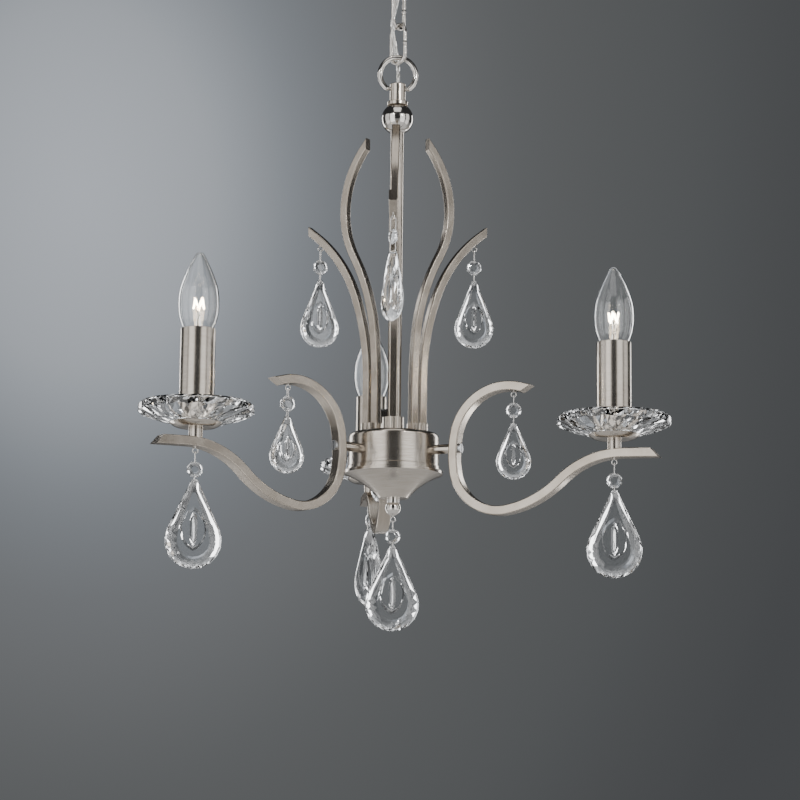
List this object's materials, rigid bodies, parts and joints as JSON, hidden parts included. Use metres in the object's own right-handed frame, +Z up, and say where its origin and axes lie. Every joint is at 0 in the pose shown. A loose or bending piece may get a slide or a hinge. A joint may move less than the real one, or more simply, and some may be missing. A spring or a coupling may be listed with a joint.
{
  "type": "candle chandelier",
  "caption": "Chain-hung candle chandelier with S-scroll arms, upright leaf bars, glass drip pans, candle bulbs and swinging cut-glass pear drops.",
  "frame": {"origin": "middle of the ceiling plate's upper face, which lies against the ceiling", "axes": "+Z up, out of the ceiling face; +Y towards the first arm"},
  "size_m": [0.4596, 0.4098, 0.6896],
  "materials": {
    "satin_nickel": "satin nickel plate, finely brushed",
    "bright_nickel": "polished nickel plate",
    "zinc_steel": "zinc-plated steel",
    "wire": "bright plated wire",
    "cut_glass": "clear polished crystal",
    "bulb_glass": "clear thin glass",
    "white_plastic": "moulded",
    "clear_flex": "clear flexible sheath",
    "rubber": "matt"
  },
  "bodies": {
    "ceiling": {"ceiling_plate": "zinc_steel", "rose_fixings": "zinc_steel", "ceiling_rose": "satin_nickel", "rose_loop": "satin_nickel", "flex_grommet": "rubber", "terminal_block": "white_plastic", "flex": "clear_flex"},
    "chain_1": {"chain_link_1": "bright_nickel"},
    "chain_2": {"chain_link_2": "bright_nickel"},
    "chain_3": {"chain_link_3": "bright_nickel"},
    "loop": {"top_loop": "bright_nickel"},
    "frame": {"loop_barrel": "satin_nickel", "top_ball": "bright_nickel", "stem_tube": "satin_nickel", "tie_rod": "zinc_steel", "drum": "satin_nickel", "hub_disc": "zinc_steel", "cone": "satin_nickel", "finial": "bright_nickel", "arm_spacers": "satin_nickel", "arm_screws": "zinc_steel", "leaf_collars": "satin_nickel", "candle_posts": "satin_nickel", "pan_cups": "satin_nickel", "glass_pans": "cut_glass", "candle_tubes": "satin_nickel", "lampholders": "white_plastic", "drop_eyes": "wire", "arm_1": "satin_nickel", "tall_leaf_1": "satin_nickel", "short_leaf_1": "satin_nickel", "arm_2": "satin_nickel", "tall_leaf_2": "satin_nickel", "short_leaf_2": "satin_nickel", "arm_3": "satin_nickel", "tall_leaf_3": "satin_nickel", "short_leaf_3": "satin_nickel"},
    "bulb_1": {"bulb_1": "bulb_glass"},
    "bulb_2": {"bulb_2": "bulb_glass"},
    "bulb_3": {"bulb_3": "bulb_glass"},
    "bead_arm_1": {"bead_arm_1": "cut_glass"},
    "pear_arm_1": {"pear_arm_1": "cut_glass"},
    "bead_arm_2": {"bead_arm_2": "cut_glass"},
    "pear_arm_2": {"pear_arm_2": "cut_glass"},
    "bead_arm_3": {"bead_arm_3": "cut_glass"},
    "pear_arm_3": {"pear_arm_3": "cut_glass"},
    "bead_scroll_1": {"bead_scroll_1": "cut_glass"},
    "pear_scroll_1": {"pear_scroll_1": "cut_glass"},
    "bead_scroll_2": {"bead_scroll_2": "cut_glass"},
    "pear_scroll_2": {"pear_scroll_2": "cut_glass"},
    "bead_scroll_3": {"bead_scroll_3": "cut_glass"},
    "pear_scroll_3": {"pear_scroll_3": "cut_glass"},
    "bead_leaf_1": {"bead_leaf_1": "cut_glass"},
    "pear_leaf_1": {"pear_leaf_1": "cut_glass"},
    "bead_leaf_2": {"bead_leaf_2": "cut_glass"},
    "pear_leaf_2": {"pear_leaf_2": "cut_glass"},
    "bead_leaf_3": {"bead_leaf_3": "cut_glass"},
    "pear_leaf_3": {"pear_leaf_3": "cut_glass"},
    "bead_centre": {"bead_centre": "cut_glass"},
    "pear_centre": {"pear_centre": "cut_glass"}
  },
  "joints": [
    {"name": "chain_1_swing", "type": "hinge", "parent": "ceiling", "child": "chain_1", "pos_m": [0, 0, -0.06975], "axis": [-0.7071, -0.7071, 0], "range_deg": [-20, 20], "deforming": ["flex"]},
    {"name": "chain_2_swing", "type": "hinge", "parent": "chain_1", "child": "chain_2", "pos_m": [0, 0, -0.10215], "axis": [-0.7071, 0.7071, 0], "range_deg": [-20, 20], "deforming": ["flex"]},
    {"name": "chain_3_swing", "type": "hinge", "parent": "chain_2", "child": "chain_3", "pos_m": [0, 0, -0.13515], "axis": [0.7071, 0.7071, 0], "range_deg": [-20, 20], "deforming": ["flex"]},
    {"name": "loop_swing", "type": "hinge", "parent": "chain_3", "child": "loop", "pos_m": [0, 0, -0.16815], "axis": [0.7071, -0.7071, 0], "range_deg": [-10, 10], "deforming": ["flex"]},
    {"name": "frame_swing", "type": "hinge", "parent": "loop", "child": "frame", "pos_m": [0, 0, -0.19226], "axis": [1, 0, 0], "range_deg": [-25, 25], "deforming": ["flex"]},
    {"name": "bulb_1_turn", "type": "hinge", "parent": "frame", "child": "bulb_1", "pos_m": [0, 0.2076, -0.45357], "axis": [0, 0, 1], "range_deg": [0, 900]},
    {"name": "bulb_2_turn", "type": "hinge", "parent": "frame", "child": "bulb_2", "pos_m": [-0.17979, -0.1038, -0.45357], "axis": [0, 0, 1], "range_deg": [0, 900]},
    {"name": "bulb_3_turn", "type": "hinge", "parent": "frame", "child": "bulb_3", "pos_m": [0.17979, -0.1038, -0.45357], "axis": [0, 0, 1], "range_deg": [0, 900]},
    {"name": "bead_arm_1_swing", "type": "hinge", "parent": "frame", "child": "bead_arm_1", "pos_m": [0, 0.2076, -0.55098], "axis": [0.4384, -0.8988, 0], "range_deg": [-20, 20]},
    {"name": "pear_arm_1_swing", "type": "hinge", "parent": "bead_arm_1", "child": "pear_arm_1", "pos_m": [0, 0.2076, -0.56978], "axis": [-0.8988, -0.4384, 0], "range_deg": [-20, 20]},
    {"name": "bead_arm_2_swing", "type": "hinge", "parent": "frame", "child": "bead_arm_2", "pos_m": [-0.17979, -0.1038, -0.55098], "axis": [0.9994, 0.0349, 0], "range_deg": [-20, 20]},
    {"name": "pear_arm_2_swing", "type": "hinge", "parent": "bead_arm_2", "child": "pear_arm_2", "pos_m": [-0.17979, -0.1038, -0.56978], "axis": [0.0349, -0.9994, 0], "range_deg": [-20, 20]},
    {"name": "bead_arm_3_swing", "type": "hinge", "parent": "frame", "child": "bead_arm_3", "pos_m": [0.17979, -0.1038, -0.55098], "axis": [0.9781, -0.2079, 0], "range_deg": [-20, 20]},
    {"name": "pear_arm_3_swing", "type": "hinge", "parent": "bead_arm_3", "child": "pear_arm_3", "pos_m": [0.17979, -0.1038, -0.56978], "axis": [-0.2079, -0.9781, 0], "range_deg": [-20, 20]},
    {"name": "bead_scroll_1_swing", "type": "hinge", "parent": "frame", "child": "bead_scroll_1", "pos_m": [0, 0.1148, -0.48621], "axis": [0.342, -0.9397, 0], "range_deg": [-20, 20]},
    {"name": "pear_scroll_1_swing", "type": "hinge", "parent": "bead_scroll_1", "child": "pear_scroll_1", "pos_m": [0, 0.1148, -0.50321], "axis": [-0.9397, -0.342, 0], "range_deg": [-20, 20]},
    {"name": "bead_scroll_2_swing", "type": "hinge", "parent": "frame", "child": "bead_scroll_2", "pos_m": [-0.09942, -0.0574, -0.48621], "axis": [0.9781, 0.2079, 0], "range_deg": [-20, 20]},
    {"name": "pear_scroll_2_swing", "type": "hinge", "parent": "bead_scroll_2", "child": "pear_scroll_2", "pos_m": [-0.09942, -0.0574, -0.50321], "axis": [0.2079, -0.9781, 0], "range_deg": [-20, 20]},
    {"name": "bead_scroll_3_swing", "type": "hinge", "parent": "frame", "child": "bead_scroll_3", "pos_m": [0.09942, -0.0574, -0.48621], "axis": [0.9903, -0.1392, 0], "range_deg": [-20, 20]},
    {"name": "pear_scroll_3_swing", "type": "hinge", "parent": "bead_scroll_3", "child": "pear_scroll_3", "pos_m": [0.09942, -0.0574, -0.50321], "axis": [-0.1392, -0.9903, 0], "range_deg": [-20, 20]},
    {"name": "bead_leaf_1_swing", "type": "hinge", "parent": "frame", "child": "bead_leaf_1", "pos_m": [0.07603, 0.03072, -0.33575], "axis": [0.9976, -0.0698, 0], "range_deg": [-20, 20]},
    {"name": "pear_leaf_1_swing", "type": "hinge", "parent": "bead_leaf_1", "child": "pear_leaf_1", "pos_m": [0.07603, 0.03072, -0.35625], "axis": [-0.0698, -0.9976, 0], "range_deg": [-20, 20]},
    {"name": "bead_leaf_2_swing", "type": "hinge", "parent": "frame", "child": "bead_leaf_2", "pos_m": [-0.06462, 0.05048, -0.33575], "axis": [0.9945, 0.1045, 0], "range_deg": [-20, 20]},
    {"name": "pear_leaf_2_swing", "type": "hinge", "parent": "bead_leaf_2", "child": "pear_leaf_2", "pos_m": [-0.06462, 0.05048, -0.35625], "axis": [0.1045, -0.9945, 0], "range_deg": [-20, 20]},
    {"name": "bead_leaf_3_swing", "type": "hinge", "parent": "frame", "child": "bead_leaf_3", "pos_m": [-0.01141, -0.0812, -0.33575], "axis": [0.342, -0.9397, 0], "range_deg": [-20, 20]},
    {"name": "pear_leaf_3_swing", "type": "hinge", "parent": "bead_leaf_3", "child": "pear_leaf_3", "pos_m": [-0.01141, -0.0812, -0.35625], "axis": [-0.9397, -0.342, 0], "range_deg": [-20, 20]},
    {"name": "bead_centre_swing", "type": "hinge", "parent": "frame", "child": "bead_centre", "pos_m": [0, 0, -0.59233], "axis": [0.9994, -0.0349, 0], "range_deg": [-20, 20]},
    {"name": "pear_centre_swing", "type": "hinge", "parent": "bead_centre", "child": "pear_centre", "pos_m": [0, 0, -0.61033], "axis": [-0.0349, -0.9994, 0], "range_deg": [-20, 20]}
  ]
}
